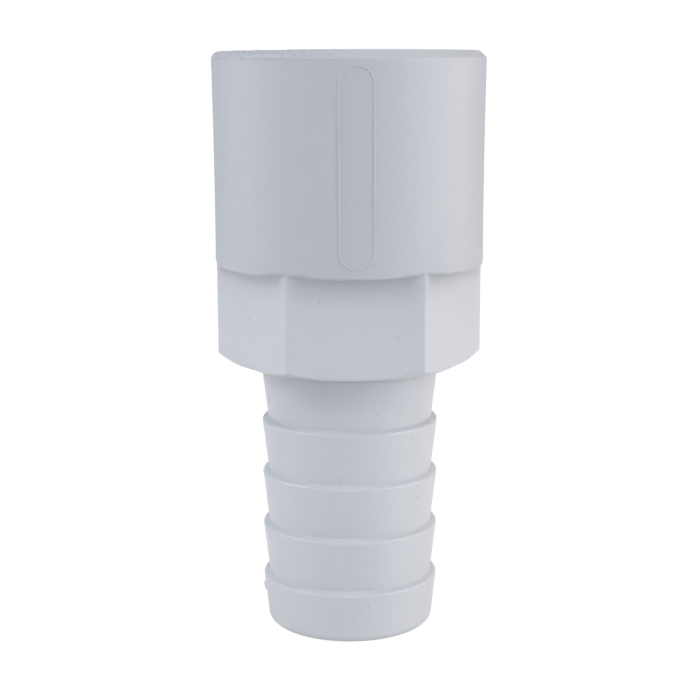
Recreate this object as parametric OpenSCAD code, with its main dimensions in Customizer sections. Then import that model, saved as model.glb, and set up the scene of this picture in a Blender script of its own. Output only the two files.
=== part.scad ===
// Moulded female-threaded hose barb, one solid piece.
// Millimetres, +Z up the common axis, origin at the centre of the tail's end face.
// The hexagon's front flat and the raised outline face -Y.

/* [Socket] */
// Outside diameter just under the rim's chamfer
socket_rim_d = 43; // [40:0.1:48]
// Outside diameter at the foot, smaller by the mould's draft
socket_foot_d = 42.6; // [39.6:0.1:48]
// Height from the ledge over the hexagon to the rim
socket_len = 33.3; // [30:0.1:45]
// Height and width of the rim's outer chamfer
rim_chamfer = 1.2; // [0.5:0.05:2]
// Radius of the socket's lower edge
foot_round = 1; // [0.3:0.05:1.2]

/* [Thread bore] */
// Thread's minor diameter, which is the plain bore
thread_minor_d = 30.29; // [28:0.01:32]
// Diameter of the lead-in where it opens on the rim, over the thread's major diameter
mouth_d = 34.2; // [33:0.1:36]
// Depth from the rim to the flat seat
thread_depth = 26; // [20:0.5:28]
// Width of the flat seat that stops the mating spigot
seat_w = 1.2; // [0.5:0.1:2.5]

/* [Hexagon] */
// Size across the four side flats
hex_flats = 36.7; // [34:0.02:40]
// Size across the front and back flats, which the mould leaves a little wider
hex_front_flats = 37.28; // [34:0.02:40]
// Height of the flats, from the underside to the ledge
hex_len = 15.5; // [10:0.1:25]
// Radius along the six upright corners
hex_corner_round = 0.45; // [0.2:0.05:1.5]
// Radius along the lower edge of each flat
hex_edge_round = 0.35; // [0.1:0.05:0.8]
// Diameter at which the corners' chamfer leaves the underside
hex_chamfer_d = 37.3; // [37:0.1:41]
// Slope of the corners' chamfer from the level
hex_chamfer_angle = 22.5; // [15:0.5:45]

/* [Barbed tail] */
// Number of barbs
barb_count = 5; // [2:1:7]
// Height of one barb
barb_pitch = 8.65; // [7:0.05:12]
// Largest diameter of a barb
crest_d = 28.4; // [27.8:0.1:31]
// Smallest diameter, where one barb stands on the next
neck_d = 26.5; // [25:0.1:27.4]
// Height of the step from a crest in to the neck over it
shoulder_h = 0.55; // [0.4:0.05:1.5]
// Radius along each crest
crest_round = 0.5; // [0.1:0.05:0.6]
// Plain neck between the top barb and the hexagon
root_gap = 0.45; // [0.1:0.05:3]
// Diameter at the end of the tail, before its edge is rounded
tip_d = 26.7; // [25:0.1:28]
// Radius of the tail's end edge
tip_round = 1.4; // [0.5:0.1:1.6]

/* [Waterway] */
// Bore through the tail
waterway_d = 20.5; // [16:0.1:22]
// Height of the funnel from the bore up to the seat
funnel_len = 18; // [8:0.5:24]
// Chamfer on the bore's lower edge
bore_edge = 0.5; // [0.2:0.1:0.8]

/* [Raised outline] */
// Width over the outline
outline_w = 5.4; // [4:0.1:8]
// Length over the outline, upright
outline_len = 29.8; // [20:0.1:30]
// Plain wall between the rim's chamfer and the outline
outline_gap = 1; // [0.5:0.1:3]
// Width of the raised line
outline_line = 0.26; // [0.2:0.02:0.6]
// How far the line stands out of the wall
outline_relief = 0.12; // [0.08:0.02:0.3]

/* [Hidden] */
$fn = 96;

shade = [0.80, 0.81, 0.83];
arc_steps = 5;
overlap = 1;

socket_rim_r = socket_rim_d / 2;
socket_foot_r = socket_foot_d / 2;
crest_r = crest_d / 2;
neck_r = neck_d / 2;
tip_r = tip_d / 2;
waterway_r = waterway_d / 2;
thread_r = thread_minor_d / 2;
mouth_r = mouth_d / 2;

underside_z = barb_count * barb_pitch + root_gap;
ledge_z = underside_z + hex_len;
rim_z = ledge_z + socket_len;
seat_z = rim_z - thread_depth;
funnel_z = seat_z - funnel_len;
wall_top_z = rim_z - rim_chamfer;
outline_z = wall_top_z - outline_gap - outline_len / 2;

// Points along an arc about (r, z), from one angle to another.
function arc(r, z, radius, from, to) = [
    for (i = [0 : arc_steps])
        let (a = from + (to - from) * i / arc_steps)
        [r + radius * cos(a), z + radius * sin(a)]
];

// Slope of each barb's shoulder from the level.
shoulder_angle = atan2(shoulder_h, crest_r - neck_r);

// One barb from its neck: out along the cone, round the crest, and in along the shoulder.
// The crest's arc is tangent to the cone below it and to the shoulder above it.
function barb(base_z, base_r) = let (
    slope = atan2(crest_r - base_r, barb_pitch - shoulder_h),
    normal_low = -slope,
    normal_high = 90 - shoulder_angle,
    half = (normal_high - normal_low) / 2,
    reach = crest_round / cos(half),
    mid = (normal_high + normal_low) / 2,
    crest_z = base_z + barb_pitch - shoulder_h
) concat(
    [[base_r, base_z]],
    arc(crest_r - reach * cos(mid), crest_z - reach * sin(mid), crest_round, normal_low, normal_high)
);

// The tail's outside: rounded end edge, then the barbs, then the plain neck.
// The end's arc is tangent to the end face and to the lowest barb's cone.
function tail_outline() = let (
    tip_slope = atan2(crest_r - tip_r, barb_pitch - shoulder_h),
    first = barb(0, tip_r),
    cone_r = tip_r + tip_round * tan(tip_slope)
) concat(
    [[0, 0]],
    arc(cone_r - tip_round / cos(tip_slope), tip_round, tip_round, -90, -tip_slope),
    [for (i = [1 : len(first) - 1]) first[i]],
    [for (k = [1 : barb_count - 1]) each barb(k * barb_pitch, neck_r)],
    [
        [neck_r, barb_count * barb_pitch],
        [neck_r, underside_z + overlap],
        [0, underside_z + overlap]
    ]
);

module tail() {
    rotate_extrude() polygon(tail_outline());
}

// Distance from the axis to the flat that faces a direction, which is 90 at the back.
function flat_distance(direction) = (direction % 180 == 90 ? hex_front_flats : hex_flats) / 2;

// Where the lines of two neighbouring flats cross, each moved in by the corners' radius.
function corner_centre(direction) = let (
    near = flat_distance(direction) - hex_corner_round,
    far = flat_distance(direction + 60) - hex_corner_round,
    aside = (far - near * cos(60)) / sin(60)
) [
    near * cos(direction) - aside * sin(direction),
    near * sin(direction) + aside * cos(direction)
];

// Hexagon with rounded corners and its front and back flats square to Y.
module rounded_hexagon() {
    polygon([
        for (side = [0 : 5])
            let (direction = 30 + side * 60, centre = corner_centre(direction))
            each arc(centre[0], centre[1], hex_corner_round, direction, direction + 60)
    ]);
}

// What is taken off along one flat's lower edge to leave it round.
module edge_waste(direction) {
    edge_r = flat_distance(direction) - hex_edge_round;
    run = 2 * hex_flats;
    rotate([0, 0, direction])
        difference() {
            translate([edge_r, -run / 2, underside_z - overlap])
                cube([hex_edge_round + overlap, run, hex_edge_round + overlap]);
            translate([edge_r, run / 2 + overlap, underside_z + hex_edge_round])
                rotate([90, 0, 0])
                cylinder(r = hex_edge_round, h = run + 2 * overlap);
        }
}

// The hexagon, with its lower corners cut by a cone. It runs up into the socket's rounded foot.
module hexagon() {
    top_z = ledge_z + foot_round;
    chamfer_r = hex_chamfer_d / 2;
    outer_r = hex_flats;
    difference() {
        intersection() {
            translate([0, 0, underside_z])
                linear_extrude(top_z - underside_z) rounded_hexagon();
            rotate_extrude() polygon([
                [0, underside_z],
                [chamfer_r, underside_z],
                [outer_r, underside_z + (outer_r - chamfer_r) * tan(hex_chamfer_angle)],
                [outer_r, top_z],
                [0, top_z]
            ]);
        }
        for (side = [0 : 5])
            edge_waste(30 + side * 60);
    }
}

// The socket's outside, drawn larger by grow for the raised line.
module socket(grow = 0) {
    rotate_extrude() polygon(concat(
        [[0, ledge_z]],
        arc(socket_foot_r - foot_round + grow, ledge_z + foot_round, foot_round, -90, 0),
        [
            [socket_rim_r + grow, wall_top_z],
            [socket_rim_r - rim_chamfer + grow, rim_z],
            [0, rim_z]
        ]
    ));
}

// Upright shape with full-round ends, centred on its own middle.
module obround(width, length) {
    end_y = (length - width) / 2;
    union() {
        square([width, 2 * end_y], center = true);
        translate([0, end_y]) circle(d = width);
        translate([0, -end_y]) circle(d = width);
    }
}

// Thin raised line round a bare panel on the front of the socket.
module raised_outline() {
    depth = socket_rim_r;
    intersection() {
        translate([0, -socket_foot_r / 2, outline_z])
            rotate([90, 0, 0])
            linear_extrude(depth)
            difference() {
                obround(outline_w, outline_len);
                obround(outline_w - 2 * outline_line, outline_len - 2 * outline_line);
            }
        socket(outline_relief);
    }
}

// All that is hollow: lead-in, thread bore, seat, funnel and the bore through the tail.
module hollow() {
    lead_h = mouth_r - thread_r;
    rotate_extrude() polygon([
        [0, -overlap],
        [waterway_r + bore_edge + overlap, -overlap],
        [waterway_r, bore_edge],
        [waterway_r, funnel_z],
        [thread_r - seat_w, seat_z],
        [thread_r, seat_z],
        [thread_r, rim_z - lead_h],
        [mouth_r + overlap, rim_z + overlap],
        [0, rim_z + overlap]
    ]);
}

module fitting_body() {
    color(shade)
    difference() {
        union() {
            tail();
            hexagon();
            socket();
            raised_outline();
        }
        hollow();
    }
}

fitting_body();
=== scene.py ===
"""Looks of a moulded hose barb with a pipe thread inside its socket.

Everything is in metres in the part's own frame: +Z runs up the common axis, the origin is the
middle of the tail's end face, and the raised outline faces -Y. The body is one closed surface,
a grid of rows along its section and columns round the axis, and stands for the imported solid.
"""

import logging
import math
from dataclasses import dataclass, field
from enum import Enum

import bpy
import numpy as np
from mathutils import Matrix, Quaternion, Vector


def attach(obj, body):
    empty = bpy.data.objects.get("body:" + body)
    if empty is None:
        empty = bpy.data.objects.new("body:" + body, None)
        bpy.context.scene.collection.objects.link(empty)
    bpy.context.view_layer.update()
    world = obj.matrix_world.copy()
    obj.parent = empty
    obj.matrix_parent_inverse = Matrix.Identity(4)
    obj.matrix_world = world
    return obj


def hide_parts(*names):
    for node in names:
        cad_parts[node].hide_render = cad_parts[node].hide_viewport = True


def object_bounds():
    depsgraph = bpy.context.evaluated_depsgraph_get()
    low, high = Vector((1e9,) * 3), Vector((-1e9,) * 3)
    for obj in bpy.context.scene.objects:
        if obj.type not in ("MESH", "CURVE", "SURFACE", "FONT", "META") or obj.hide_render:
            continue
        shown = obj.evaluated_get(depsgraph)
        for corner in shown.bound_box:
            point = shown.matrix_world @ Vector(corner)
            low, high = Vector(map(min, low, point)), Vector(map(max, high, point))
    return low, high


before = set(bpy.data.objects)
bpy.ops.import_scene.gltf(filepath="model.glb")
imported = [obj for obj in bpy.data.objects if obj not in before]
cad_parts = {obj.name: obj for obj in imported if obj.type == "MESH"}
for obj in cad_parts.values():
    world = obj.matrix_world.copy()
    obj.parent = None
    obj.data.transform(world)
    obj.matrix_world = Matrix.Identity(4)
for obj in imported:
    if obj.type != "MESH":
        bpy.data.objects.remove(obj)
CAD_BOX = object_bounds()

MM = 0.001
FULL_TURN = 2.0 * math.pi
BODY = "root"
NODE = "fitting_body"

# Directions that the hexagon's flats face, in degrees, and the turn from one to the next.
FLAT_TURN = 60.0
FLAT_DIRECTIONS = 30.0 + FLAT_TURN * np.arange(6)

Colour = tuple[float, float, float, float]
Point = tuple[float, float, float]

log = logging.getLogger("fitting")


class Side(Enum):
    """A direction round the axis, as its angle in degrees from +X towards +Y."""

    RIGHT = 0.0
    BACK = 90.0
    LEFT = 180.0
    FRONT = 270.0


def smooth_step(value: np.ndarray, low: float, high: float) -> np.ndarray:
    """Rise from 0 at low to 1 at high along 3t^2 - 2t^3."""
    t = np.clip((value - low) / (high - low), 0.0, 1.0)
    return t * t * (3.0 - 2.0 * t)


def hump(value: np.ndarray, centre: float, half_width: float) -> np.ndarray:
    """Smooth hump, 1 at its centre and 0 beyond its half width, along (1 - t^2)^2."""
    t = np.clip(np.abs(value - centre) / half_width, 0.0, 1.0)
    return (1.0 - t * t) ** 2


def turn_from(angles: np.ndarray, degrees: float) -> np.ndarray:
    """Signed angle in degrees from a direction to each of the angles, between -180 and 180."""
    return (np.degrees(angles) - degrees + 180.0) % 360.0 - 180.0


def turned(r: np.ndarray | float, angle: np.ndarray, z: np.ndarray | float) -> np.ndarray:
    """Points (x, y, z) at distances from the axis, angles about it in radians, and heights."""
    return np.stack(np.broadcast_arrays(r * np.cos(angle), r * np.sin(angle), z), axis=-1)


@dataclass(frozen=True)
class Corner:
    """A corner of the section, where two straight runs meet in an arc.

    Attributes:
        r: Distance from the axis, one value or one for each column.
        z: Height, one value or one for each column.
        radius: Radius of the arc, one value or one for each column.
        steps: Faces across the arc.
        run_rows: Rows spread along the straight run that leads to this corner.
        dense: Shares of that run between which the rows lie, if not along all of it.
    """

    r: float | np.ndarray
    z: float | np.ndarray
    radius: float | np.ndarray = 0.0
    steps: int = 3
    run_rows: int = 0
    dense: tuple[float, float] | None = None


def rounded_path(corners: list[Corner], columns: int, guard: float) -> np.ndarray:
    """Rows of a section whose corners are arcs.

    An arc starts a tangent length before its corner and ends as far after it. That length is
    the radius times the tangent of half the turn, or a hair where the corner hardly turns, so
    that its rows stay apart. Between its ends the arc is the rational quadratic curve whose
    middle weight is the cosine of half the turn, which is a true arc. A guard row lies
    just outside each end of an arc, so that the straight runs shade flat.

    Args:
        corners: The section's corners in order. The first and last are only its ends.
        columns: How many columns the grid has.
        guard: Distance from an arc's end to its guard row.

    Returns:
        Array of rows by columns by (r, z).
    """
    least_tangent, most_of_run = 0.4 * guard, 0.3
    spread = [np.broadcast_arrays(c.r, c.z, np.zeros(columns))[:2] for c in corners]
    points = np.stack([np.stack(pair, axis=-1) for pair in spread])
    runs = np.diff(points, axis=0)
    lengths = np.linalg.norm(runs, axis=-1)
    heads = runs / lengths[..., None]
    half_turn = 0.5 * np.arccos(np.clip(np.sum(heads[:-1] * heads[1:], axis=-1), -1.0, 1.0))
    tangents = np.zeros((len(corners), columns))
    for k, corner in enumerate(corners[1:-1], start=1):
        tangents[k] = np.maximum(corner.radius * np.tan(half_turn[k - 1]), least_tangent)

    rows = [points[:1]]
    for k in range(1, len(corners)):
        last = k == len(corners) - 1
        leave = points[k - 1] + heads[k - 1] * tangents[k - 1][:, None]
        arrive = points[k] - heads[k - 1] * tangents[k][:, None]
        free = lengths[k - 1] - tangents[k - 1] - tangents[k]
        near = np.minimum(guard / free, most_of_run)
        inner = np.linspace(0.0, 1.0, corners[k].run_rows + 2)
        if corners[k].dense:
            inner[1:-1] = np.linspace(*corners[k].dense, corners[k].run_rows)
        inner = inner[:, None]
        shares = near + (1.0 - 2.0 * near) * inner
        if k == 1:
            shares = shares[1:]
        if last:
            shares = shares[:-1]
        rows.append(leave + (arrive - leave) * shares[..., None])
        if last:
            rows.append(points[-1:])
            continue
        depart = points[k] + heads[k] * tangents[k][:, None]
        t = np.linspace(0.0, 1.0, corners[k].steps + 1)[:, None, None]
        weight = np.cos(half_turn[k - 1])[:, None]
        start, middle, end = (1.0 - t) ** 2, 2.0 * weight * t * (1.0 - t), t * t
        arc = start * arrive + middle * points[k] + end * depart
        rows.append(arc / (start + middle + end))
    return np.concatenate(rows)


def grid_object(name: str, points: np.ndarray) -> bpy.types.Object:
    """Closed grid as one smooth mesh object.

    Each vertex joins the next in its row and the next in its column, and both wrap round.

    Args:
        name: The object's name.
        points: Array of rows by columns by (x, y, z).

    Returns:
        The object, linked to the scene.
    """
    rows, columns = points.shape[:2]
    index = np.arange(rows * columns).reshape(rows, columns)
    beside = np.roll(index, -1, axis=1)
    quads = np.stack([index, beside, np.roll(beside, -1, 0), np.roll(index, -1, 0)], axis=-1)
    mesh = bpy.data.meshes.new(name)
    mesh.from_pydata(points.reshape(-1, 3), [], quads.reshape(-1, 4))
    mesh.polygons.foreach_set("use_smooth", np.ones(rows * columns, dtype=bool))
    mesh.update()
    made = bpy.data.objects.new(name, mesh)
    bpy.context.scene.collection.objects.link(made)
    return made


@dataclass(frozen=True)
class FittingSizes:
    """Real sizes of the fitting, with the names and values of its solid.

    The last three are the dressed model's own. Where the hexagon's wall is nearer the axis than
    crisp_to, over the middles of the flats, the socket's lower edge has ledge_round, and from
    round_from on it has foot_round.
    """

    socket_rim_d: float = 43.0 * MM
    socket_foot_d: float = 42.6 * MM
    socket_len: float = 33.3 * MM
    rim_chamfer: float = 1.2 * MM
    foot_round: float = 1.0 * MM
    thread_minor_d: float = 30.29 * MM
    mouth_d: float = 34.2 * MM
    thread_depth: float = 26.0 * MM
    seat_w: float = 1.2 * MM
    hex_flats: float = 36.7 * MM
    hex_front_flats: float = 37.28 * MM
    hex_len: float = 15.5 * MM
    hex_corner_round: float = 0.45 * MM
    hex_edge_round: float = 0.35 * MM
    hex_chamfer_d: float = 37.3 * MM
    hex_chamfer_angle: float = 22.5
    barb_count: int = 5
    barb_pitch: float = 8.65 * MM
    crest_d: float = 28.4 * MM
    neck_d: float = 26.5 * MM
    shoulder_h: float = 0.55 * MM
    crest_round: float = 0.5 * MM
    root_gap: float = 0.45 * MM
    tip_d: float = 26.7 * MM
    tip_round: float = 1.4 * MM
    waterway_d: float = 20.5 * MM
    funnel_len: float = 18.0 * MM
    bore_edge: float = 0.5 * MM
    outline_w: float = 5.4 * MM
    outline_len: float = 29.8 * MM
    outline_gap: float = 1.0 * MM
    ledge_round: float = 0.45 * MM
    crisp_to: float = 19.0 * MM
    round_from: float = 20.2 * MM

    @property
    def underside_z(self) -> float:
        """Height of the hexagon's underside."""
        return self.barb_count * self.barb_pitch + self.root_gap

    @property
    def ledge_z(self) -> float:
        """Height of the ledge over the hexagon."""
        return self.underside_z + self.hex_len

    @property
    def rim_z(self) -> float:
        """Height of the rim."""
        return self.ledge_z + self.socket_len

    @property
    def wall_top_z(self) -> float:
        """Height at which the rim's chamfer starts."""
        return self.rim_z - self.rim_chamfer

    @property
    def seat_z(self) -> float:
        """Height of the flat seat under the thread."""
        return self.rim_z - self.thread_depth

    @property
    def outline_z(self) -> float:
        """Height of the raised outline's middle."""
        return self.wall_top_z - self.outline_gap - self.outline_len / 2

    def foot_rounds(self, hex_r: np.ndarray) -> np.ndarray:
        """Radius of the socket's lower edge, which is crisper over the middles of the flats."""
        share = smooth_step(hex_r, self.crisp_to, self.round_from)
        return self.ledge_round + (self.foot_round - self.ledge_round) * share

    def flat_distances(self) -> np.ndarray:
        """Distances from the axis to the six flats, from 30 degrees on in steps of 60."""
        side, front = self.hex_flats / 2, self.hex_front_flats / 2
        return np.array([side, front, side, side, front, side])


@dataclass(frozen=True)
class PipeThread:
    """Right-handed parallel pipe thread, cut into the socket's bore.

    The depth and the arcs' radius are the standard's shares of the pitch for a form of twice
    the flank's angle. The groove fades in between two heights over the seat.
    """

    pitch: float = 25.4 / 11 * MM
    depth_share: float = 0.640327
    arc_share: float = 0.137329
    flank_angle: float = 27.5
    below_rim: float = 0.55 * MM
    above_seat: float = 1.8 * MM
    fade_low: float = 2.2 * MM
    fade_high: float = 3.8 * MM
    rows: int = 124

    def groove(self, angles: np.ndarray, heights: np.ndarray, seat_z: float) -> np.ndarray:
        """Depth of the groove into the bore's wall.

        Across the groove the form is two arcs joined by a flank: an arc at the root, a flank
        27.5 degrees from the radius, and the same arc at the crest. Its centre line climbs one
        pitch a turn. The whole form shrinks to nothing where that line comes near the seat.

        Args:
            angles: Angle of each column, in radians.
            heights: Height of each row, as a column of values.
            seat_z: Height of the seat, over which the groove fades out.

        Returns:
            Array of rows by columns of depths.
        """
        depth, arc = self.depth_share * self.pitch, self.arc_share * self.pitch
        flank = math.radians(self.flank_angle)
        arc_half = arc * math.cos(flank)
        arc_rise = arc * (1.0 - math.sin(flank))
        climb = self.pitch * angles / FULL_TURN
        turns = (heights - climb) / self.pitch
        nearest = np.round(turns)
        away = np.abs(turns - nearest) * self.pitch
        to_crest = self.pitch / 2 - away
        root = depth - arc + np.sqrt(np.maximum(arc**2 - away**2, 0.0))
        crest = arc - np.sqrt(np.maximum(arc**2 - to_crest**2, 0.0))
        slope = depth - arc_rise - (away - arc_half) / math.tan(flank)
        form = np.where(away < arc_half, root, np.where(to_crest < arc_half, crest, slope))
        line_z = nearest * self.pitch + climb
        return form * smooth_step(line_z - seat_z, self.fade_low, self.fade_high)


@dataclass(frozen=True)
class MouldMarks:
    """Small faults that the mould and its parting line leave, with angles in degrees."""

    waist: float = 0.105 * MM
    back_draw: float = 0.012 * MM
    back_half_width: float = 14.0
    front_sag: float = 0.25 * MM
    front_sag_half_width: float = 34.0
    seam_height: float = 0.03 * MM
    seam_half_width: float = 0.45
    seam_foot: tuple[float, float] = (1.0 * MM, 2.0 * MM)
    seam_below_wall_top: tuple[float, float] = (4.0 * MM, 1.0 * MM)
    nub_height: float = 0.27 * MM
    nub_foot: tuple[float, float] = (4.4 * MM, 5.0 * MM)
    nub_head: tuple[float, float] = (6.0 * MM, 6.2 * MM)
    nub_half_angle: float = 2.6
    soft_rim_middle: float = 191.0
    soft_rim_full: float = 40.0
    soft_rim_gone: float = 58.0
    soft_rim_radius: float = 1.15 * MM
    soft_rim_spare: float = 0.04 * MM
    crisp_rim_radius: float = 0.16 * MM
    crease_sway: float = 0.18 * MM
    rim_bumps: tuple[tuple[float, float, float], ...] = (
        (209.6, 2.2, 0.08 * MM),
        (226.0, 3.4, 0.07 * MM),
        (198.0, 1.6, 0.05 * MM),
        (243.0, 2.6, 0.04 * MM),
    )
    ripple: float = 0.012 * MM
    ripple_waves: tuple[float, float] = (23.0, 37.0)
    ripple_shift: float = 1.3

    def softness(self, angles: np.ndarray) -> np.ndarray:
        """How much of the rim's worn rounding each column has, from 0 to 1."""
        away = np.abs(turn_from(angles, self.soft_rim_middle))
        return 1.0 - smooth_step(away, self.soft_rim_full, self.soft_rim_gone)

    def rim_lift(self, angles: np.ndarray) -> np.ndarray:
        """Height that bumps and a ripple add to the worn rim.

        The ripple is a sum of two sines of the angle. The worn rim lies lower by the most that
        bumps and ripple add, so it never stands over the plane of the whole one.

        Args:
            angles: Angle of each column, in radians.

        Returns:
            One height for each column, none of them above zero.
        """
        lift = np.zeros_like(angles)
        for place, half_width, height in self.rim_bumps:
            lift += height * hump(turn_from(angles, place), 0.0, half_width)
        slow, quick = self.ripple_waves
        ripple = self.ripple * (np.sin(slow * angles) + np.sin(quick * angles + self.ripple_shift))
        sunk = max(bump[2] for bump in self.rim_bumps) + 2.0 * self.ripple
        worn = self.softness(angles)
        return lift * worn + (ripple - sunk) * worn


@dataclass
class FittingBody:
    """The one-piece body: barbed tail, hexagon, socket and all that is hollow in them.

    Attributes:
        guard: Distance from an arc's end to its guard row.
        small_round: Radius of the small inside and outside edges.
        funnel_round: Radius where the funnel meets the tail's bore.
        end_face_w: Distance from the tail's bore to where the section's ends meet.
        chamfer_spare: Least width of the chamfer under the hexagon's edge, in its radii.
        nub_rows: Rows up the lowest barb's cone, which carries the nub.
        nub_span: Shares of that cone between which they lie.
        foot_rows: Rows from the ledge round the socket's foot, after the first.
        foot_shares: Shares of that way at which the first two rows lie.
        foot_closer: How many times closer the rows lie on the foot's arc than on the ledge.
        wall_r: Distance from the axis past which a point over the ledge is on the wall.
        tail_skin: How far inside the necks' radius a point still counts as outside.
        lip_w: How far past the mouth's radius a point counts as outside.
        bore_gap: Height from the thread's last row down to the plain bore's first.
        corner_columns: Columns on a corner's arc.
        corner_guard: Angle from an arc's end to its guard column, in degrees.
        sector_columns: Columns after each corner, between its guard columns.
    """

    sizes: FittingSizes = field(default_factory=FittingSizes)
    thread: PipeThread = field(default_factory=PipeThread)
    marks: MouldMarks = field(default_factory=MouldMarks)
    guard: float = 0.05 * MM
    small_round: float = 0.12 * MM
    funnel_round: float = 1.0 * MM
    end_face_w: float = 1.2 * MM
    chamfer_spare: float = 1.4
    nub_rows: int = 20
    nub_span: tuple[float, float] = (0.42, 0.76)
    foot_rows: int = 14
    foot_shares: tuple[float, float] = (0.012, 0.06)
    foot_closer: float = 5.0
    wall_r: float = 19.0 * MM
    tail_skin: float = 0.2 * MM
    lip_w: float = 1.0 * MM
    bore_gap: float = 0.2 * MM
    corner_columns: int = 9
    corner_guard: float = 0.25
    sector_columns: tuple[int, ...] = (27, 27, 27, 58, 54, 29)

    def corner_centres(self) -> np.ndarray:
        """Centres of the hexagon's corner arcs.

        The lines of two neighbouring flats are moved in by the arcs' radius, and the centre is
        where they cross.

        Returns:
            Array of six (x, y), for the corners from 60 degrees on in steps of 60.
        """
        turn = np.radians(FLAT_DIRECTIONS)
        near = self.sizes.flat_distances() - self.sizes.hex_corner_round
        far = np.roll(near, -1)
        between = math.radians(FLAT_TURN)
        aside = (far - near * math.cos(between)) / math.sin(between)
        x = near * np.cos(turn) - aside * np.sin(turn)
        y = near * np.sin(turn) + aside * np.cos(turn)
        return np.stack([x, y], axis=-1)

    def corner_spans(self) -> np.ndarray:
        """Angles at which each corner's arc starts and ends, in radians.

        Returns:
            Array of six (start, end), for the corners from 60 degrees on in steps of 60. The
            last lies at 360 degrees, so its end is small and its start just below zero.
        """
        centres = self.corner_centres()
        spans = []
        for directions in (FLAT_DIRECTIONS, FLAT_DIRECTIONS + FLAT_TURN):
            turn = np.radians(directions)
            x = centres[:, 0] + self.sizes.hex_corner_round * np.cos(turn)
            y = centres[:, 1] + self.sizes.hex_corner_round * np.sin(turn)
            spans.append(np.arctan2(y, x) % FULL_TURN)
        spans = np.stack(spans, axis=-1)
        spans[-1, 0] -= FULL_TURN
        return spans

    def columns(self) -> np.ndarray:
        """Angle of each column, close together round the hexagon's corners.

        A corner's arc takes a fixed number of columns, with a guard column beside each end. The
        rest lie evenly over the flats, and more closely where the rim is worn.

        Returns:
            One angle for each column, in radians.
        """
        spans = np.roll(self.corner_spans(), 1, axis=0)
        followings = np.append(spans[1:, 0], spans[0, 0] + FULL_TURN)
        guard = math.radians(self.corner_guard)
        parts = []
        for (start, end), following, count in zip(spans, followings, self.sector_columns):
            parts.append(np.linspace(start, end, self.corner_columns))
            parts.append(np.linspace(end + guard, following - guard, count + 2))
        return np.concatenate(parts)

    def hexagon_radius(self, angles: np.ndarray) -> np.ndarray:
        """Distance from the axis to the hexagon's outline along each column.

        On a flat it is the flat's distance over the cosine of the angle from its middle, and a
        flat far from the column has a tiny cosine in its place, so it never counts. On a corner
        it is where the column's line leaves the corner's arc.

        Args:
            angles: Angle of each column, in radians.

        Returns:
            One distance for each column.
        """
        reach_limit, no_reach, tolerance = 45.0, 1e-3, 1e-6
        off_flat = np.stack([turn_from(angles, middle) for middle in FLAT_DIRECTIONS])
        cosines = np.cos(np.radians(off_flat))
        reach = np.where(np.abs(off_flat) < reach_limit, cosines, no_reach)
        outline = (self.sizes.flat_distances()[:, None] / reach).min(axis=0)
        for centre, (start, end) in zip(self.corner_centres(), self.corner_spans()):
            distance = math.hypot(*centre)
            away = np.radians(turn_from(angles, math.degrees(math.atan2(centre[1], centre[0]))))
            inside = self.sizes.hex_corner_round**2 - (distance * np.sin(away)) ** 2
            arc = distance * np.cos(away) + np.sqrt(np.maximum(inside, 0.0))
            off_arc = np.abs(turn_from(angles, math.degrees((start + end) / 2)))
            on_arc = off_arc <= math.degrees(end - start) / 2 + tolerance
            outline = np.where(on_arc, arc, outline)
        return outline

    def tail_and_hexagon(self, angles: np.ndarray, hex_r: np.ndarray) -> np.ndarray:
        """Rows from the tail's end face up over the barbs to the top of the hexagon's wall.

        Each barb is a cone, a rounded crest and a shoulder. The hexagon's underside is flat to
        the chamfer's diameter and then climbs along a shallow cone to its wall. Along the front
        flat the lower edge hangs a little and is rounder by as much, along a smooth hump.

        Args:
            angles: Angle of each column, in radians.
            hex_r: Distance to the hexagon's wall along each column.

        Returns:
            Array of rows by columns by (r, z).
        """
        s = self.sizes
        crest_r, neck_r = s.crest_d / 2, s.neck_d / 2
        corners = [
            Corner(s.waterway_d / 2 + self.end_face_w, 0.0),
            Corner(s.tip_d / 2, 0.0, s.tip_round, steps=8),
        ]
        for k in range(s.barb_count):
            top_z = (k + 1) * s.barb_pitch
            run_rows, dense = (self.nub_rows, self.nub_span) if k == 0 else (1, None)
            crest_z = top_z - s.shoulder_h
            corners.append(Corner(crest_r, crest_z, s.crest_round, 5, run_rows, dense))
            corners.append(Corner(neck_r, top_z, self.small_round))
        corners.append(Corner(neck_r, s.underside_z, self.small_round))
        chamfer_r = s.hex_chamfer_d / 2
        climb = np.maximum(hex_r - chamfer_r, 0.0) * math.tan(math.radians(s.hex_chamfer_angle))
        front = turn_from(angles, Side.FRONT.value)
        sag = self.marks.front_sag * hump(front, 0.0, self.marks.front_sag_half_width)
        edge_round = s.hex_edge_round + sag
        start_r = np.minimum(chamfer_r, hex_r - self.chamfer_spare * edge_round)
        corners.append(Corner(start_r, s.underside_z - sag, self.small_round, steps=1))
        corners.append(Corner(hex_r, s.underside_z + climb - sag, edge_round, steps=5))
        corners.append(Corner(hex_r, self.ledge_join(hex_r), run_rows=2))
        return rounded_path(corners, len(angles), self.guard)

    def ledge_join(self, hex_r: np.ndarray) -> np.ndarray:
        """Height at which the hexagon's wall meets the ledge or the socket's rounded foot.

        Past the ledge's plane it climbs a quarter arc: one less the root of one less the square
        of the reach along the radius, times the radius.

        Args:
            hex_r: Distance to the hexagon's wall along each column.

        Returns:
            One height for each column.
        """
        s = self.sizes
        rounds = s.foot_rounds(hex_r)
        reach = np.clip((hex_r - s.socket_foot_d / 2 + rounds) / rounds, 0.0, 1.0)
        return s.ledge_z + rounds * (1.0 - np.sqrt(1.0 - reach**2))

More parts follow.
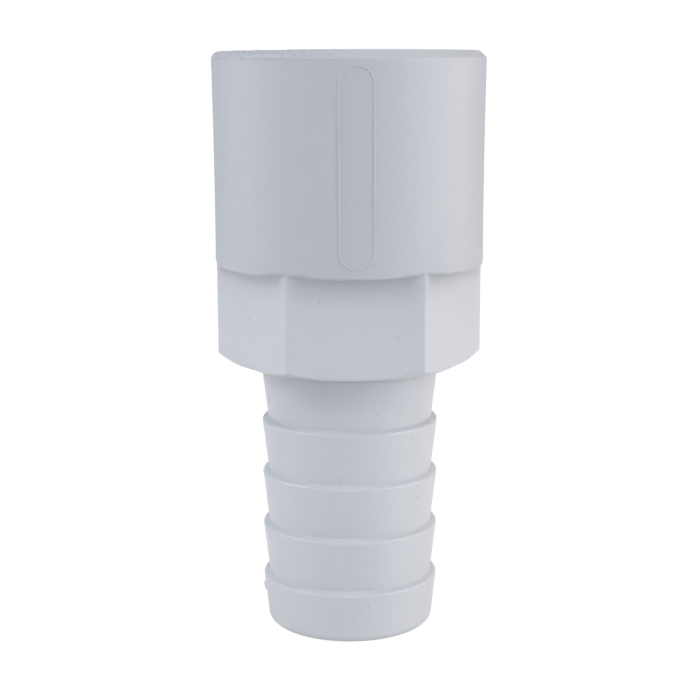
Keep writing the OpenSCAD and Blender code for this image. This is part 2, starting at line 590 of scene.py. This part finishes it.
    def foot(self, hex_r: np.ndarray) -> np.ndarray:
        """Rows from the hexagon's wall out along the ledge and round the socket's foot.

        The way is the ledge's plane and then a quarter arc, and the rows lie at set shares of
        it, several times closer on the arc. Where the hexagon reaches past the plane, the way
        starts on the arc.

        Args:
            hex_r: Distance to the hexagon's wall along each column.

        Returns:
            Array of rows by columns by (r, z), without the row on the hexagon's wall.
        """
        s = self.sizes
        rounds = s.foot_rounds(hex_r)
        arc_r = s.socket_foot_d / 2 - rounds
        plane = np.maximum(arc_r - hex_r, 0.0)
        start = np.arcsin(np.clip((hex_r - arc_r) / rounds, 0.0, 1.0))
        total = plane + self.foot_closer * rounds * (math.pi / 2 - start)
        first, second = self.foot_shares
        shares = np.concatenate([[first], np.linspace(second, 1.0, self.foot_rows)])[:, None]
        past_plane = shares * total - plane
        turn = start + np.maximum(past_plane, 0.0) / (self.foot_closer * rounds)
        on_arc = past_plane > 0.0
        r = np.where(on_arc, arc_r + rounds * np.sin(turn), hex_r + shares * total)
        z = np.where(on_arc, s.ledge_z + rounds * (1.0 - np.cos(turn)), s.ledge_z)
        return np.stack([r, z], axis=-1)

    def socket(self, angles: np.ndarray, hex_r: np.ndarray) -> np.ndarray:
        """Rows up the socket's wall, over the chamfered rim and into the lead-in.

        The chamfer's lower crease dips at the front and back, as a cosine of twice the angle.
        Where the rim is worn, the two corners' arcs take up the whole chamfer, and its leg is
        then the radius times 2 less the square root of 2, plus a little to spare.

        Args:
            angles: Angle of each column, in radians.
            hex_r: Distance to the hexagon's wall along each column.

        Returns:
            Array of rows by columns by (r, z), without the first row.
        """
        s, m = self.sizes, self.marks
        soft = m.softness(angles)
        rim_round = m.crisp_rim_radius + soft * (m.soft_rim_radius - m.crisp_rim_radius)
        soft_leg = m.soft_rim_radius * (2.0 - math.sqrt(2.0)) + m.soft_rim_spare
        leg = s.rim_chamfer + soft * (soft_leg - s.rim_chamfer)
        off_front = angles - math.radians(Side.FRONT.value)
        drop = leg + (1.0 - soft) * m.crease_sway * np.cos(2.0 * off_front)
        rim_z = s.rim_z + m.rim_lift(angles)
        rim_r, mouth_r = s.socket_rim_d / 2, s.mouth_d / 2
        corners = [
            Corner(s.socket_foot_d / 2, s.ledge_z + s.foot_rounds(hex_r)),
            Corner(rim_r, rim_z - drop, rim_round, steps=5, run_rows=12),
            Corner(rim_r - leg, rim_z, rim_round, steps=5, run_rows=1),
            Corner(mouth_r, rim_z, self.small_round, run_rows=1),
            Corner(mouth_r - self.thread.below_rim, s.rim_z - self.thread.below_rim),
        ]
        return rounded_path(corners, len(angles), self.guard)[1:]

    def thread_bore(self, angles: np.ndarray) -> np.ndarray:
        """Rows down the threaded bore: the larger of the lead-in's cone and the thread.

        Args:
            angles: Angle of each column, in radians.

        Returns:
            Array of rows by columns by (r, z).
        """
        s = self.sizes
        top_z, bottom_z = s.rim_z - self.thread.below_rim, s.seat_z + self.thread.above_seat
        z = np.linspace(top_z, bottom_z, self.thread.rows)[:, None]
        lead_in = s.mouth_d / 2 - (s.rim_z - z)
        bore = s.thread_minor_d / 2 + self.thread.groove(angles, z, s.seat_z)
        return np.stack([np.maximum(lead_in, bore), np.broadcast_to(z, bore.shape)], axis=-1)

    def waterway(self, angles: np.ndarray) -> np.ndarray:
        """Rows down from the plain bore over the seat, the funnel and the tail's bore.

        Args:
            angles: Angle of each column, in radians.

        Returns:
            Array of rows by columns by (r, z), without the last row.
        """
        s = self.sizes
        bore_r, water_r = s.thread_minor_d / 2, s.waterway_d / 2
        corners = [
            Corner(bore_r, s.seat_z + self.thread.above_seat - self.bore_gap),
            Corner(bore_r, s.seat_z, self.small_round, steps=2),
            Corner(bore_r - s.seat_w, s.seat_z, self.small_round, steps=2),
            Corner(water_r, s.seat_z - s.funnel_len, self.funnel_round),
            Corner(water_r, s.bore_edge, self.small_round, steps=2),
            Corner(water_r + s.bore_edge, 0.0, self.small_round, steps=2),
            Corner(water_r + self.end_face_w, 0.0),
        ]
        return rounded_path(corners, len(angles), self.guard)[:-1]

    def marked(self, section: np.ndarray, angles: np.ndarray) -> np.ndarray:
        """Distance from the axis with the mould's marks added on the outside.

        The wall is drawn in by a parabola between its foot and its chamfer, and by a hair at
        the back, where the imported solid's flat facets lie inside the round. A low ridge runs up
        the parting line on both sides. A small nub on the lowest barb rises gently from below
        and ends in a step.

        Args:
            section: Array of rows by columns by (r, z).
            angles: Angle of each column, in radians.

        Returns:
            Array of rows by columns of distances.
        """
        s, m = self.sizes, self.marks
        r, z = section[..., 0], section[..., 1]
        tail_outside = (r > s.neck_d / 2 - self.tail_skin) & (z < s.underside_z)
        outside = tail_outside | (r > s.mouth_d / 2 + self.lip_w)
        on_wall = (r > self.wall_r) & (z > s.ledge_z)
        back = hump(turn_from(angles, Side.BACK.value), 0.0, m.back_half_width)
        drawn_in = m.waist * wall_bulge(s, z) + m.back_draw * back
        off_right = turn_from(angles, Side.RIGHT.value)
        off_left = turn_from(angles, Side.LEFT.value)
        side = np.minimum(np.abs(off_right), np.abs(off_left))
        seam_low, seam_high = (s.wall_top_z - below for below in m.seam_below_wall_top)
        below_rim = 1.0 - smooth_step(z, seam_low, seam_high)
        seam = m.seam_height * hump(side, 0.0, m.seam_half_width) * below_rim
        seam = seam * smooth_step(z, *m.seam_foot)
        nub = hump(off_left, 0.0, m.nub_half_angle) * m.nub_height
        nub = nub * smooth_step(z, *m.nub_foot) * (1.0 - smooth_step(z, *m.nub_head))
        return r - np.where(on_wall, drawn_in, 0.0) + np.where(outside, seam + nub, 0.0)

    def build(self) -> bpy.types.Object:
        """Build the closed skin of the whole body.

        Returns:
            The body's object, with columns turned about the axis from each row's (r, z).
        """
        angles = self.columns()
        hex_r = self.hexagon_radius(angles)
        section = np.concatenate([
            self.tail_and_hexagon(angles, hex_r),
            self.foot(hex_r),
            self.socket(angles, hex_r),
            self.thread_bore(angles)[1:],
            self.waterway(angles),
        ])
        r = self.marked(section, angles)
        return grid_object("moulded_body", turned(r, angles, section[..., 1]))

    def dress(self, piece: bpy.types.Object, finish: bpy.types.Material) -> None:
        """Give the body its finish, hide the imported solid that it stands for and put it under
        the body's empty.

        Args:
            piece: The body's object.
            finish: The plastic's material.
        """
        piece.data.materials.append(finish)
        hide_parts(NODE)
        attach(piece, BODY)


def wall_bulge(sizes: FittingSizes, z: np.ndarray) -> np.ndarray:
    """Parabola up the socket's wall, 0 at its foot and its chamfer and 1 half way.

    Args:
        sizes: The fitting's sizes.
        z: Heights.

    Returns:
        One share for each height.
    """
    low = sizes.ledge_z + sizes.foot_round
    share = np.clip((z - low) / (sizes.wall_top_z - low), 0.0, 1.0)
    return 4.0 * share * (1.0 - share)


@dataclass
class RaisedOutline:
    """The thin raised line on the front of the socket, round a bare panel."""

    sizes: FittingSizes = field(default_factory=FittingSizes)
    waist: float = MouldMarks.waist
    base: float = 0.3 * MM
    relief: float = 0.126 * MM
    swell: float = 0.5
    sunk: float = 0.06 * MM
    end_steps: int = 40
    side_steps: int = 30
    crown_steps: int = 8

    def centre_line(self) -> tuple[np.ndarray, np.ndarray]:
        """Obround that the line follows, flat in the panel's own plane.

        Two straight sides are joined by half circles. The second array holds the outward
        normals, which turn with the half circles and stay level along the sides.

        Returns:
            Arrays of (across, up) for the points and for their normals.
        """
        end_r = (self.sizes.outline_w - self.base) / 2
        half = (self.sizes.outline_len - self.sizes.outline_w) / 2
        turn = np.linspace(0.0, math.pi, self.end_steps, endpoint=False)
        lift = np.linspace(-half, half, self.side_steps, endpoint=False)
        flat = np.zeros_like(lift)
        angle = np.concatenate([flat, turn, flat + math.pi, turn + math.pi])
        up = np.concatenate([lift, np.full_like(turn, half), -lift, np.full_like(turn, -half)])
        normal = np.stack([np.cos(angle), np.sin(angle)], axis=-1)
        line = end_r * normal
        line[:, 1] += up
        return line, normal

    def build(self) -> bpy.types.Object:
        """Build the line as a rounded ridge carried along its obround and wrapped on the wall.

        Across the line the ridge rises along a cosine from its base to its crown and returns
        straight under the wall's surface, and it stands out more where the wall is drawn in. A
        point's angle round the socket is the arcsine of its distance across the panel over the
        wall's radius.

        Returns:
            The raised line's object.
        """
        s = self.sizes
        line, normal = self.centre_line()
        t = np.linspace(-1.0, 1.0, self.crown_steps + 1)
        across = np.concatenate([t, t[::-1][::self.crown_steps]]) * self.base / 2
        height = self.relief * 0.5 * (1.0 + np.cos(math.pi * t))
        height = np.concatenate([height, [-self.sunk, -self.sunk]])
        flat = line[None] + across[:, None, None] * normal[None]
        z = s.outline_z + flat[..., 1]
        share = (z - s.ledge_z) / (s.wall_top_z - s.ledge_z)
        wall_r = (s.socket_foot_d + (s.socket_rim_d - s.socket_foot_d) * share) / 2
        wall_r = wall_r - self.waist * wall_bulge(s, z)
        x = flat[..., 0]
        r = wall_r + height[:, None] * (1.0 + self.swell * wall_bulge(s, z))
        angle = math.radians(Side.FRONT.value) + np.arcsin(x / wall_r)
        return grid_object("raised_outline", turned(r, angle, z)[::-1])

    def dress(self, piece: bpy.types.Object, finish: bpy.types.Material) -> None:
        """Give the line the body's finish.

        Args:
            piece: The line's object.
            finish: The plastic's material.
        """
        piece.data.materials.append(finish)
        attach(piece, BODY)


class Term:
    """A shader value in an expression. Each operator adds one Math node."""

    def __init__(self, shader: "Shader", socket: bpy.types.NodeSocket) -> None:
        """Wrap an output socket of the shader's tree."""
        self.shader = shader
        self.socket = socket

    def math(self, operation: str, *others: "Term | float") -> "Term":
        """Result of a Math operation on this value and the others."""
        return self.shader.math(operation, self, *others)

    def __add__(self, other: "Term | float") -> "Term":
        """Sum."""
        return self.math("ADD", other)

    __radd__ = __add__

    def __mul__(self, other: "Term | float") -> "Term":
        """Product."""
        return self.math("MULTIPLY", other)

    __rmul__ = __mul__

    def __sub__(self, other: "Term | float") -> "Term":
        """Difference."""
        return self.math("SUBTRACT", other)

    def __rsub__(self, other: float) -> "Term":
        """Difference from a plain number."""
        return self.shader.math("SUBTRACT", other, self)


class Shader:
    """A material's node tree, with short ways to add to it."""

    def __init__(self, name: str) -> None:
        """Make an empty material with its output."""
        self.material = bpy.data.materials.new(name)
        self.material.use_nodes = True
        self.tree = self.material.node_tree
        self.tree.nodes.clear()

    def feed(self, socket: bpy.types.NodeSocket, value: object) -> None:
        """Give an input socket its value.

        Args:
            socket: The input socket.
            value: A shader value or an output socket, which is linked, or a plain value.
        """
        if isinstance(value, Term):
            value = value.socket
        if isinstance(value, bpy.types.NodeSocket):
            self.tree.links.new(value, socket)
        else:
            socket.default_value = value

    def node(self, kind: str, settings: dict | None = None, **inputs: object) -> bpy.types.Node:
        """Add a node.

        Args:
            kind: The node's type, without its ShaderNode prefix.
            settings: Values of the node's own properties, set before its sockets.
            inputs: Values or links of its input sockets. An underscore in a name is a space.

        Returns:
            The node.
        """
        made = self.tree.nodes.new("ShaderNode" + kind)
        for name, value in (settings or {}).items():
            setattr(made, name, value)
        for name, value in inputs.items():
            self.feed(made.inputs[name.replace("_", " ")], value)
        return made

    def math(self, operation: str, *values: "Term | float") -> Term:
        """Add a Math node.

        Args:
            operation: What it does with the values.
            values: Shader values or plain numbers, in the order of its sockets.

        Returns:
            Its result.
        """
        made = self.node("Math", {"operation": operation})
        for socket, value in zip(made.inputs, values):
            self.feed(socket, value)
        return Term(self, made.outputs[0])

    def place(self) -> bpy.types.NodeSocket:
        """Object coordinates."""
        return self.node("TexCoord").outputs["Object"]

    def noise(self, place: bpy.types.NodeSocket, size: float, detail: float = 2.0) -> Term:
        """Noise between 0 and 1 whose features are about the given size, in metres."""
        made = self.node("TexNoise", Vector=place, Scale=1.0 / size, Detail=detail)
        return Term(self, made.outputs["Fac"])

    def distance(self, place: bpy.types.NodeSocket, point: Point) -> Term:
        """Distance from a point.

        Args:
            place: Coordinates, in metres.
            point: The point.

        Returns:
            The distance, in metres.
        """
        made = self.node("VectorMath", {"operation": "DISTANCE"})
        for socket, value in zip(made.inputs, (place, point)):
            self.feed(socket, value)
        return Term(self, made.outputs["Value"])

    def nearness(self, place: bpy.types.NodeSocket, point: Point, reach: float,
                 power: float) -> Term:
        """Nearness to a point: 1 at it, 0 from its reach on, and a power of the share between.

        Args:
            place: Coordinates, in metres.
            point: The point.
            reach: Distance at which nothing is left.
            power: The power, under 1 for a full middle and a quick end.

        Returns:
            The nearness, from 0 to 1.
        """
        share = 1.0 - self.distance(place, point) * (1.0 / reach)
        return share.math("MAXIMUM", 0.0).math("POWER", power)

    def ramp(self, value: Term, low: float, high: float) -> Term:
        """Even rise from 0 at low to 1 at high, and level outside them."""
        return ((value - low) * (1.0 / (high - low))).math("MAXIMUM", 0.0).math("MINIMUM", 1.0)

    def blend(self, factor: Term, first: object, second: object,
              mode: str = "MIX") -> bpy.types.NodeSocket:
        """Add a colour Mix node.

        Args:
            factor: Share of the second colour, or of its product with the first.
            first: The first colour, a value or a link.
            second: The second colour, a value or a link.
            mode: MIX for the second colour alone, MULTIPLY for the product.

        Returns:
            The mixed colour.
        """
        made = self.node("Mix", {"data_type": "RGBA", "blend_type": mode})
        # A Mix node has sockets for every type: 6 and 7 are its colours, and output 2 is theirs.
        for place, value in ((0, factor), (6, first), (7, second)):
            self.feed(made.inputs[place], value)
        return made.outputs[2]

    def surface(self, node: bpy.types.Node) -> bpy.types.Material:
        """Join a shader node to the output and return the finished material."""
        self.node("OutputMaterial", Surface=node.outputs[0])
        return self.material


@dataclass(frozen=True)
class MouldedPlastic:
    """Pale cool grey plastic with the fine matte skin of a spark-finished mould.

    A noise is given by its size in metres and its detail.
    """

    base: Colour = (0.563, 0.583, 0.612, 1.0)
    deep: Colour = (0.539, 0.559, 0.587, 1.0)
    drift: tuple[float, float] = (9.0 * MM, 3.0)
    mottle: tuple[float, float] = (0.4 * MM, 2.0)
    drift_share: float = 0.6
    wall_tone: Colour = (0.878, 0.88, 0.888, 1.0)
    wall_z: float = 59.0 * MM
    wall_blend: float = 0.6 * MM
    # Painted shade of the ledge's shadow on the front flat: its tone, centre, reach, power and
    # lowest height.
    painted_shade_tone: Colour = (0.895, 0.895, 0.905, 1.0)
    painted_shade_place: Point = (1.5 * MM, -19.0 * MM, 58.5 * MM)
    painted_shade_reach: float = 12.5 * MM
    painted_shade_power: float = 0.3
    painted_shade_low: float = 54.8 * MM
    roughness: float = 0.3
    wall_roughness: float = 0.44
    gloss_drift: tuple[float, float] = (1.6 * MM, 2.0)
    gloss_range: float = 0.12
    grain: tuple[float, float] = (0.25 * MM, 2.0)
    broad_grain: tuple[float, float] = (1.75 * MM, 1.0)
    grain_depth: float = 0.028 * MM
    grain_share: float = 0.5
    wall_grain_share: float = 0.9
    broad_share: float = 0.3
    scuff_place: Point = (-14.0 * MM, -15.5 * MM, 92.3 * MM)
    scuff_reach: float = 15.0 * MM
    scuff_power: float = 0.4
    scuff_z: float = 91.0 * MM
    scuff_blend: float = 0.3 * MM
    scuff_grain: tuple[float, float] = (0.42 * MM, 3.0)
    scuff_worn: tuple[float, float] = (0.5, 0.62)
    scuff_tone: Colour = (0.82, 0.83, 0.86, 1.0)
    scuff_share: float = 5.0
    speck: Colour = (0.2, 0.19, 0.18, 1.0)
    speck_cell: float = 6.4 * MM
    speck_radius: float = 0.09 * MM
    speck_strength: float = 0.6
    mark_strength: float = 0.7
    mark_power: float = 0.5
    marks: tuple[tuple[float, float, float, float], ...] = (
        (3.75 * MM, -13.07 * MM, 37.2 * MM, 0.2 * MM),
        (-0.78 * MM, -13.38 * MM, 5.16 * MM, 0.16 * MM),
        (-5.42 * MM, -18.64 * MM, 55.71 * MM, 0.14 * MM),
    )

    def tone(self, shader: Shader, place: bpy.types.NodeSocket, height: Term,
             on_wall: Term) -> bpy.types.NodeSocket:
        """Clean colour of the plastic.

        One noise drifts the tone over centimetres and a finer one mottles it. The socket's wall
        is a little darker than the smoother hexagon and tail. On the front flat under the ledge,
        painted shade stands for the ledge's shadow, darkest near the ledge and fading down and
        aside.

        Args:
            shader: The material's tree.
            place: Object coordinates.
            height: Height over the tail's end.
            on_wall: 1 on the socket's wall and 0 below it.

        Returns:
            The colour.
        """
        drift = shader.noise(place, *self.drift) * self.drift_share
        drift = drift + shader.noise(place, *self.mottle) * (1.0 - self.drift_share)
        colour = shader.blend(drift, self.base, self.deep)
        colour = shader.blend(on_wall, colour, self.wall_tone, "MULTIPLY")
        # Painted shade: the ledge's shadow on the front flat, darkest near the ledge and fading
        # downwards and away.
        corner = shader.nearness(place, self.painted_shade_place, self.painted_shade_reach, self.painted_shade_power)
        corner = corner * shader.ramp(height, self.painted_shade_low, self.wall_z) * (1.0 - on_wall)
        return shader.blend(corner, colour, self.painted_shade_tone, "MULTIPLY")

    def dots(self, shader: Shader, place: bpy.types.NodeSocket) -> Term:
        """How dark the specks are: cells far larger than their dots, and dots in set places.

        Args:
            shader: The material's tree.
            place: Object coordinates.

        Returns:
            The share of the speck's colour.
        """
        cells = shader.node("TexVoronoi", Vector=place, Scale=1.0 / self.speck_cell)
        inside = Term(shader, cells.outputs["Distance"])
        dots = inside.math("LESS_THAN", self.speck_radius / self.speck_cell) * self.speck_strength
        for x, y, z, radius in self.marks:
            mark = shader.nearness(place, (x, y, z), radius, self.mark_power)
            dots = dots.math("MAXIMUM", mark * self.mark_strength)
        return dots

    def make(self) -> bpy.types.Material:
        """Build the material.

        The worn stretch of the rim is darker where a noise of its own is high, and rougher. The
        gloss drifts over millimetres, and two scales of noise make the skin's bump.

        Returns:
            The plastic's material.
        """
        shader = Shader("moulded_plastic")
        place = shader.place()
        height = Term(shader, shader.node("SeparateXYZ", Vector=place).outputs["Z"])
        on_wall = shader.ramp(height, self.wall_z, self.wall_z + self.wall_blend)
        scuffed = shader.nearness(place, self.scuff_place, self.scuff_reach, self.scuff_power)
        scuffed = scuffed * shader.ramp(height, self.scuff_z, self.scuff_z + self.scuff_blend)
        rough = shader.noise(place, *self.scuff_grain)
        worn = shader.ramp(rough, *self.scuff_worn) * scuffed
        colour = self.tone(shader, place, height, on_wall)
        colour = shader.blend(worn, colour, self.scuff_tone, "MULTIPLY")
        colour = shader.blend(self.dots(shader, place), colour, self.speck)
        gloss = shader.noise(place, *self.gloss_drift) * self.gloss_range
        gloss = gloss + (self.roughness - self.gloss_range / 2)
        gloss = gloss + on_wall * (self.wall_roughness - self.roughness)
        relief = shader.noise(place, *self.grain) * (on_wall * self.wall_grain_share
                                                     + self.grain_share)
        relief = relief + shader.noise(place, *self.broad_grain) * self.broad_share
        relief = relief + scuffed * rough * self.scuff_share
        bump = shader.node("Bump", Height=relief, Strength=1.0, Distance=self.grain_depth)
        body = shader.node("BsdfPrincipled", Base_Color=colour, Roughness=gloss,
                           Normal=bump.outputs["Normal"], IOR=1.5)
        return shader.surface(body)


@dataclass(frozen=True)
class FloorBounce:
    """White floor as the light meets it, with a glow of its own close to the part."""

    colour: Colour = (0.9, 0.9, 0.9, 1.0)
    near: Colour = (0.088, 0.09, 0.066, 1.0)
    far: Colour = (0.0, 0.0, 0.0, 1.0)
    reach: float = 200.0 * MM

    def make(self) -> bpy.types.Material:
        """Build the material: matte white, and a glow that fades evenly with the distance.

        Returns:
            The floor's material.
        """
        shader = Shader("floor_bounce")
        away = shader.distance(shader.place(), (0.0, 0.0, 0.0)) * (1.0 / self.reach)
        glow = shader.blend(away.math("MINIMUM", 1.0), self.near, self.far)
        body = shader.node("BsdfPrincipled", Base_Color=self.colour, Roughness=0.9,
                           Emission_Color=glow, Emission_Strength=1.0)
        return shader.surface(body)


@dataclass(frozen=True)
class TentCloth:
    """Matte white cloth of the light tent."""

    colour: Colour = (0.8, 0.8, 0.8, 1.0)

    def make(self) -> bpy.types.Material:
        """Build the material: even matte white."""
        shader = Shader("tent_cloth")
        return shader.surface(shader.node("BsdfPrincipled", Base_Color=self.colour, Roughness=0.5))


@dataclass(frozen=True)
class StudioWhite:
    """Even white of the lit floor and the backdrop, as the camera sees them."""

    colour: Colour = (1.0, 1.0, 1.0, 1.0)
    strength: float = 1.02

    def make(self) -> bpy.types.Material:
        """Build the material: an even white glow."""
        shader = Shader("studio_white")
        return shader.surface(shader.node("Emission", Color=self.colour, Strength=self.strength))


@dataclass(frozen=True)
class Panel:
    """A soft light: a square area lamp that faces the part.

    Its azimuth is the angle round from the front to the viewer's right, and its elevation the
    angle over the level, both in degrees and about the part's middle.
    """

    name: str
    azimuth: float
    elevation: float
    distance: float
    size: float
    watts: float
    tint: tuple[float, float, float]

    def hang(self, target: Vector) -> None:
        """Add the lamp.

        Args:
            target: The point that it faces, from which its distance counts.
        """
        lamp = bpy.data.lights.new(self.name, "AREA")
        lamp.shape, lamp.size = "SQUARE", self.size
        lamp.energy, lamp.color = self.watts, self.tint
        made = bpy.data.objects.new(self.name, lamp)
        around, up = math.radians(self.azimuth), math.radians(self.elevation)
        level = Vector((math.sin(around), -math.cos(around), 0.0)) * math.cos(up)
        away = level + Vector((0.0, 0.0, math.sin(up)))
        made.location = target + away * self.distance
        made.rotation_mode = "QUATERNION"
        made.rotation_quaternion = (-away).to_track_quat("-Z", "Y")
        made.visible_camera = False
        bpy.context.scene.collection.objects.link(made)


@dataclass
class Studio:
    """The white floor and backdrop, the light that the floor returns, and the soft lights."""

    floor_radius: float = 2.5
    disc_points: int = 96
    dome_radius: float = 2.6
    dome_turns: int = 64
    dome_tilts: int = 33
    dome_top: float = 89.0
    bounce_below: float = 0.5 * MM
    tent_half: float = 1.0
    world_tint: Colour = (0.93, 0.97, 1.0, 1.0)
    world_strength: float = 0.02
    panels: tuple[Panel, ...] = (
        Panel("right_panel", 80.0, 35.0, 0.9, 0.35, 1.0, (1.0, 0.96, 0.94)),
        Panel("low_right_panel", 95.0, 6.0, 0.9, 0.2, 1.1, (1.0, 0.86, 0.77)),
        Panel("front_right_panel", 60.0, 18.0, 0.9, 0.3, 2.4, (0.94, 0.94, 1.0)),
        Panel("left_panel", -80.0, 35.0, 0.9, 0.35, 3.05, (0.8, 0.87, 1.0)),
        Panel("low_left_panel", -100.0, 8.0, 0.9, 0.3, 0.9, (1.0, 0.9, 0.76)),
        Panel("top_panel", 0.0, 48.0, 0.9, 0.25, 1.45, (1.0, 1.0, 1.0)),
    )

    def disc(self, name: str, radius: float, z: float) -> bpy.types.Mesh:
        """Flat disc with its edge on a circle.

        Args:
            name: The mesh's name.
            radius: The circle's radius.
            z: The disc's height.

        Returns:
            The mesh, one face that looks up.
        """
        turns = np.linspace(0.0, FULL_TURN, self.disc_points, endpoint=False)
        mesh = bpy.data.meshes.new(name)
        mesh.from_pydata(turned(radius, turns, z), [], [list(range(self.disc_points))])
        return mesh

    def dome(self, name: str) -> bpy.types.Mesh:
        """Sphere as a function of turn and tilt, closed at its poles and facing inwards.

        Args:
            name: The mesh's name.

        Returns:
            The mesh, its rows of faces and a cap at either pole.
        """
        turns = np.linspace(0.0, FULL_TURN, self.dome_turns, endpoint=False)
        tilts = np.linspace(-self.dome_top, self.dome_top, self.dome_tilts)
        tilts = np.radians(tilts)[:, None]
        points = turned(np.cos(tilts) * self.dome_radius, turns, np.sin(tilts) * self.dome_radius)
        index = np.arange(tilts.size * turns.size).reshape(tilts.size, turns.size)
        beside = np.roll(index, -1, axis=1)
        quads = np.stack([index[:-1], index[1:], beside[1:], beside[:-1]], axis=-1)
        caps = [index[0].tolist(), index[-1][::-1].tolist()]
        mesh = bpy.data.meshes.new(name)
        mesh.from_pydata(points.reshape(-1, 3), [], quads.reshape(-1, 4).tolist() + caps)
        return mesh

    def tent(self, name: str) -> bpy.types.Mesh:
        """Square tent open at the floor, twice as wide each way as it is tall.

        Args:
            name: The mesh's name.

        Returns:
            The mesh, four walls and a roof that face inwards.
        """
        turns = np.radians([45.0, 135.0, 225.0, 315.0])
        corner_r = self.tent_half * math.sqrt(2.0)
        low, high = (turned(corner_r, turns, z) for z in (0.0, self.tent_half))
        walls = [[k, k + 4, (k + 1) % 4 + 4, (k + 1) % 4] for k in range(4)]
        mesh = bpy.data.meshes.new(name)
        mesh.from_pydata(np.concatenate([low, high]), [], walls + [[7, 6, 5, 4]])
        return mesh

    def staged(self, mesh: bpy.types.Mesh, finish: bpy.types.Material, seen: bool) -> None:
        """Link a mesh as part of the stage.

        Args:
            mesh: The mesh, which also names the object.
            finish: Its material.
            seen: Whether only the camera sees it. Otherwise only the light does.
        """
        mesh.materials.append(finish)
        made = bpy.data.objects.new(mesh.name, mesh)
        bpy.context.scene.collection.objects.link(made)
        made.visible_camera = seen
        for ray in ("diffuse", "glossy", "transmission", "shadow", "volume_scatter"):
            setattr(made, "visible_" + ray, not seen)

    def world(self) -> None:
        """Fill the surroundings with a little even, slightly cool light."""
        world = bpy.data.worlds.new("studio_air")
        world.use_nodes = True
        glow = world.node_tree.nodes["Background"]
        glow.inputs["Color"].default_value = self.world_tint
        glow.inputs["Strength"].default_value = self.world_strength
        bpy.context.scene.world = world

    def build(self) -> None:
        """Put up what the camera sees, the floor and tent that light the part, and the lights."""
        white = StudioWhite().make()
        self.staged(self.disc("studio_floor", self.floor_radius, 0.0), white, seen=True)
        self.staged(self.dome("backdrop_dome"), white, seen=True)
        bounce = self.disc("floor_bounce", self.floor_radius, -self.bounce_below)
        self.staged(bounce, FloorBounce().make(), seen=False)
        self.staged(self.tent("light_tent"), TentCloth().make(), seen=False)
        self.world()
        low, high = CAD_BOX
        for panel in self.panels:
            panel.hang((low + high) / 2)
        view = bpy.context.scene.view_settings
        view.view_transform, view.look = "Standard", "None"
        view.exposure, view.gamma = 0.0, 1.0


@dataclass
class PhotoCamera:
    """Camera at the photograph's viewing angle, worked out from the fitting's own edges.

    It stands a distance from the axis at a height, turned to the left of the front, and looks
    past the axis by a hair, pitched down and rolled. Angles are in degrees.
    """

    distance: float = 241.0 * MM
    height: float = 89.79 * MM
    turn: float = 2.95
    pitch: float = 10.54
    roll: float = 0.13
    aside: float = 0.015
    focal_pixels: float = 1513.7
    image_pixels: float = 700.0
    sensor_width: float = 36.0
    clip: tuple[float, float] = (0.01, 20.0)

    def build(self) -> bpy.types.Object:
        """Add the camera and make it the scene's.

        Returns:
            The camera's object.
        """
        lens = bpy.data.cameras.new("photo_camera")
        lens.sensor_width = self.sensor_width
        lens.lens = self.focal_pixels / self.image_pixels * self.sensor_width
        lens.clip_start, lens.clip_end = self.clip
        lens.dof.use_dof = False
        made = bpy.data.objects.new("photo_camera", lens)
        turn, pitch = math.radians(self.turn), math.radians(self.pitch)
        x, y = -self.distance * math.sin(turn), -self.distance * math.cos(turn)
        made.location = (x, y, self.height)
        heading = turn + math.radians(self.aside)
        level = math.cos(pitch)
        ahead = Vector((math.sin(heading) * level, math.cos(heading) * level, -math.sin(pitch)))
        made.rotation_mode = "QUATERNION"
        facing = ahead.to_track_quat("-Z", "Y")
        made.rotation_quaternion = Quaternion(ahead, math.radians(self.roll)) @ facing
        bpy.context.scene.collection.objects.link(made)
        bpy.context.scene.camera = made
        return made


def main() -> None:
    """Build the camera, the studio and the fitting's pieces in order."""
    logging.basicConfig(level=logging.INFO, format="%(message)s")
    PhotoCamera().build()
    Studio().build()
    plastic = MouldedPlastic().make()
    for part in (FittingBody(), RaisedOutline()):
        piece = part.build()
        part.dress(piece, plastic)
        log.info("%s: %d faces", piece.name, len(piece.data.polygons))


if __name__ == "__main__":
    main()
